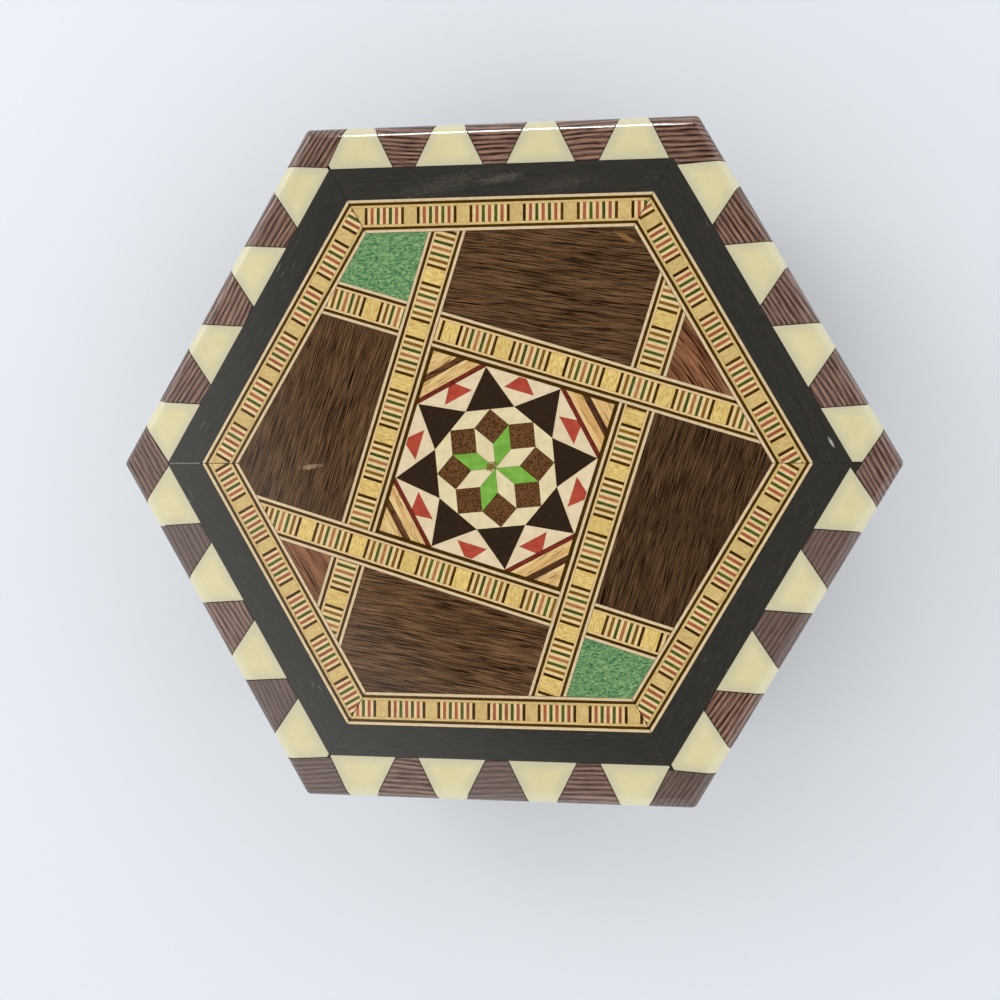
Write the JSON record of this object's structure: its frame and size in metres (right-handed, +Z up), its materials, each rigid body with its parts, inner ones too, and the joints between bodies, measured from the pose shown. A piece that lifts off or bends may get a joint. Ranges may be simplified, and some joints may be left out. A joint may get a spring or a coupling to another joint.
{
  "type": "marquetry jewelry box",
  "caption": "Six-sided wooden jewelry box with mitred walls and a lift-off lid, inlaid with geometric marquetry: mosaic bands, walnut panels, a star medallion and an edging of pale wedges.",
  "frame": {"origin": "centre of the underside", "axes": "+Z up towards the lid, +X towards a corner, +Y towards the flat side at the top of the picture, the back"},
  "size_m": [0.156, 0.1354, 0.0563],
  "materials": {
    "walnut": "walnut veneer with dark open pores under clear gloss lacquer",
    "rosewood": "striped purplish rosewood under clear gloss lacquer",
    "bone": "cream bone-coloured resin, polished",
    "ebonised": "black-stained fine-grained wood under clear gloss lacquer",
    "mosaic": "boxwood banding with dyed red, green and dark bars under clear gloss lacquer",
    "mahogany": "reddish mahogany veneer under clear gloss lacquer",
    "green_dyed": "green-dyed rippled veneer under clear gloss lacquer",
    "medallion_ground": "pale inlay with red lozenges and striped corners under clear gloss lacquer",
    "medallion_star": "rosette of black, pale, brown and green lozenges under clear gloss lacquer",
    "plain_wood": "plain brown hardwood, thinly varnished"
  },
  "bodies": {
    "root": {"wall_back": "walnut", "wall_back_left": "walnut", "wall_front_left": "walnut", "wall_front": "walnut", "wall_front_right": "walnut", "wall_back_right": "walnut", "wall_band_back": "mosaic", "wall_band_back_left": "mosaic", "wall_band_front_left": "mosaic", "wall_band_front": "mosaic", "wall_band_front_right": "mosaic", "wall_band_back_right": "mosaic", "base_board": "plain_wood", "lid_board": "plain_wood", "rosewood_edging": "rosewood", "bone_wedge_1_back": "bone", "bone_wedge_1_back_left": "bone", "bone_wedge_1_front_left": "bone", "bone_wedge_1_front": "bone", "bone_wedge_1_front_right": "bone", "bone_wedge_1_back_right": "bone", "bone_wedge_2_back": "bone", "bone_wedge_2_back_left": "bone", "bone_wedge_2_front_left": "bone", "bone_wedge_2_front": "bone", "bone_wedge_2_front_right": "bone", "bone_wedge_2_back_right": "bone", "bone_wedge_3_back": "bone", "bone_wedge_3_back_left": "bone", "bone_wedge_3_front_left": "bone", "bone_wedge_3_front": "bone", "bone_wedge_3_front_right": "bone", "bone_wedge_3_back_right": "bone", "bone_wedge_4_back": "bone", "bone_wedge_4_back_left": "bone", "bone_wedge_4_front_left": "bone", "bone_wedge_4_front": "bone", "bone_wedge_4_front_right": "bone", "bone_wedge_4_back_right": "bone", "ebony_border": "ebonised", "mosaic_frame": "mosaic", "long_strip_back": "mosaic", "short_strip_back": "mosaic", "walnut_panel_back": "walnut", "long_strip_right": "mosaic", "short_strip_right": "mosaic", "walnut_panel_right": "walnut", "long_strip_front": "mosaic", "short_strip_front": "mosaic", "walnut_panel_front": "walnut", "long_strip_left": "mosaic", "short_strip_left": "mosaic", "walnut_panel_left": "walnut", "mahogany_panel_back_right": "mahogany", "mahogany_panel_front_left": "mahogany", "green_panel_front_right": "green_dyed", "green_panel_back_left": "green_dyed", "medallion_ground": "medallion_ground", "medallion_star": "medallion_star"}
  },
  "joints": []
}
